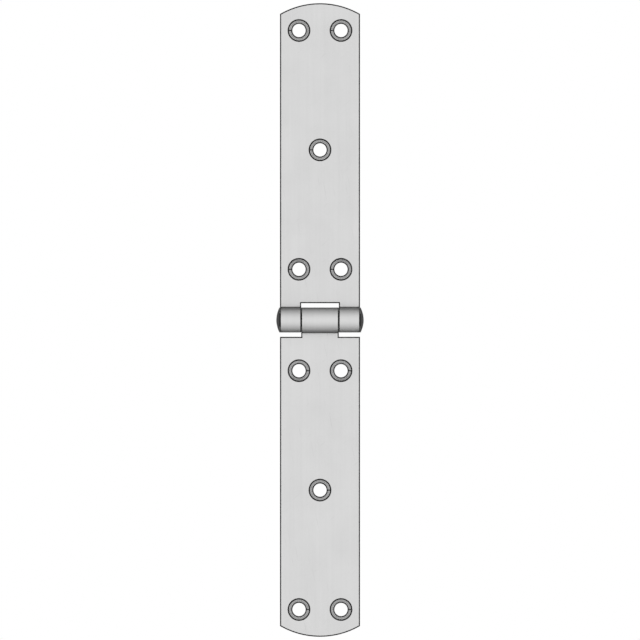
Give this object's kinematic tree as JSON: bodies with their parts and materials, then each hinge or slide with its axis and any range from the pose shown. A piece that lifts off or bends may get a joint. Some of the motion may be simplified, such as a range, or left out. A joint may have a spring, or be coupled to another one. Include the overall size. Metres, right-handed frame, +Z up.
{
  "type": "strap hinge",
  "caption": "Flat strap hinge: long round-ended steel straps with countersunk screw holes, rolled knuckles and a riveted pin with domed heads.",
  "frame": {"origin": "middle of the pin, on its axis, which is also the centre of the box of the hinge laid open flat", "axes": "+X along the pin; +Z up the upper strap, away from the pin; +Y out of the flat back faces that lie on the door and the frame, so the barrel and the countersinks face -Y"},
  "size_m": [0.0436, 0.0126, 0.3168],
  "materials": {
    "strap_steel": "satin, fine grain along the strip, neutral light grey",
    "pin_steel": "satin, turned shank and upset heads, slightly darker than the straps"
  },
  "bodies": {
    "fixed_side": {"upper_leaf": "strap_steel", "hinge_pin": "pin_steel"},
    "swinging_side": {"lower_leaf": "strap_steel"}
  },
  "joints": [
    {"name": "strap_fold", "type": "hinge", "parent": "fixed_side", "child": "swinging_side", "pos_m": [0, 0, 0], "axis": [-1, 0, 0], "range_deg": [-105, 180]}
  ]
}
